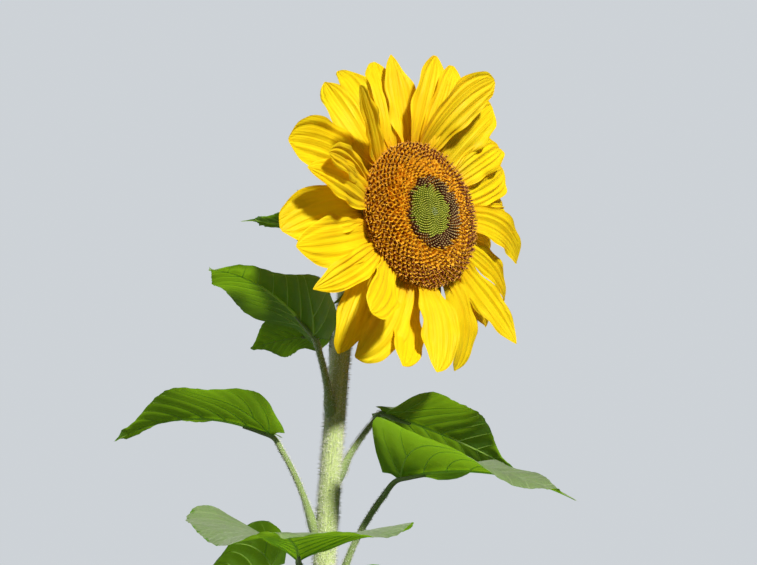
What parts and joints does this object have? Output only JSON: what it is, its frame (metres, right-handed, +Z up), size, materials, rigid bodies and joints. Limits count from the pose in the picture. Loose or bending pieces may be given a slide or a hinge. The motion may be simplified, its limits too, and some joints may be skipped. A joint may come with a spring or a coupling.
{
  "type": "sunflower plant",
  "caption": "Sunflower plant rooted in the ground: a hairy tapering stem, stalked heart-shaped leaves and one nodding yellow flower head with a brown disc.",
  "frame": {"origin": "centre of the flat cut under the stem, at ground level", "axes": "+Z up along the stem; the flower head leans and faces between +X and -Y"},
  "size_m": [0.5607, 0.5908, 1.6621],
  "materials": {
    "stem": "rough",
    "leaf": "satin",
    "ray": "satin",
    "disc": "rough",
    "heart": "rough",
    "bract": "rough"
  },
  "bodies": {
    "root": {"stem": "stem", "stalk_01": "stem", "blade_01": "leaf", "stalk_02": "stem", "blade_02": "leaf", "stalk_03": "stem", "blade_03": "leaf", "stalk_04": "stem", "blade_04": "leaf", "stalk_05": "stem", "blade_05": "leaf", "stalk_06": "stem", "blade_06": "leaf", "stalk_07": "stem", "blade_07": "leaf", "stalk_08": "stem", "blade_08": "leaf", "stalk_09": "stem", "blade_09": "leaf", "stalk_10": "stem", "blade_10": "leaf", "stalk_11": "stem", "blade_11": "leaf", "stalk_12": "stem", "blade_12": "leaf", "stalk_13": "stem", "blade_13": "leaf", "stalk_14": "stem", "blade_14": "leaf", "stalk_15": "stem", "blade_15": "leaf", "stalk_16": "stem", "blade_16": "leaf", "stalk_17": "stem", "blade_17": "leaf", "stalk_18": "stem", "blade_18": "leaf", "stalk_19": "stem", "blade_19": "leaf", "stalk_20": "stem", "blade_20": "leaf", "stalk_21": "stem", "blade_21": "leaf", "stalk_22": "stem", "blade_22": "leaf", "disc": "disc", "disc_heart": "heart", "receptacle": "bract", "rays_top": "ray", "rays_upper_right": "ray", "rays_right": "ray", "rays_lower_right": "ray", "rays_bottom": "ray", "rays_lower_left": "ray", "rays_left": "ray", "rays_upper_left": "ray", "rays_top_left": "ray"}
  },
  "joints": []
}
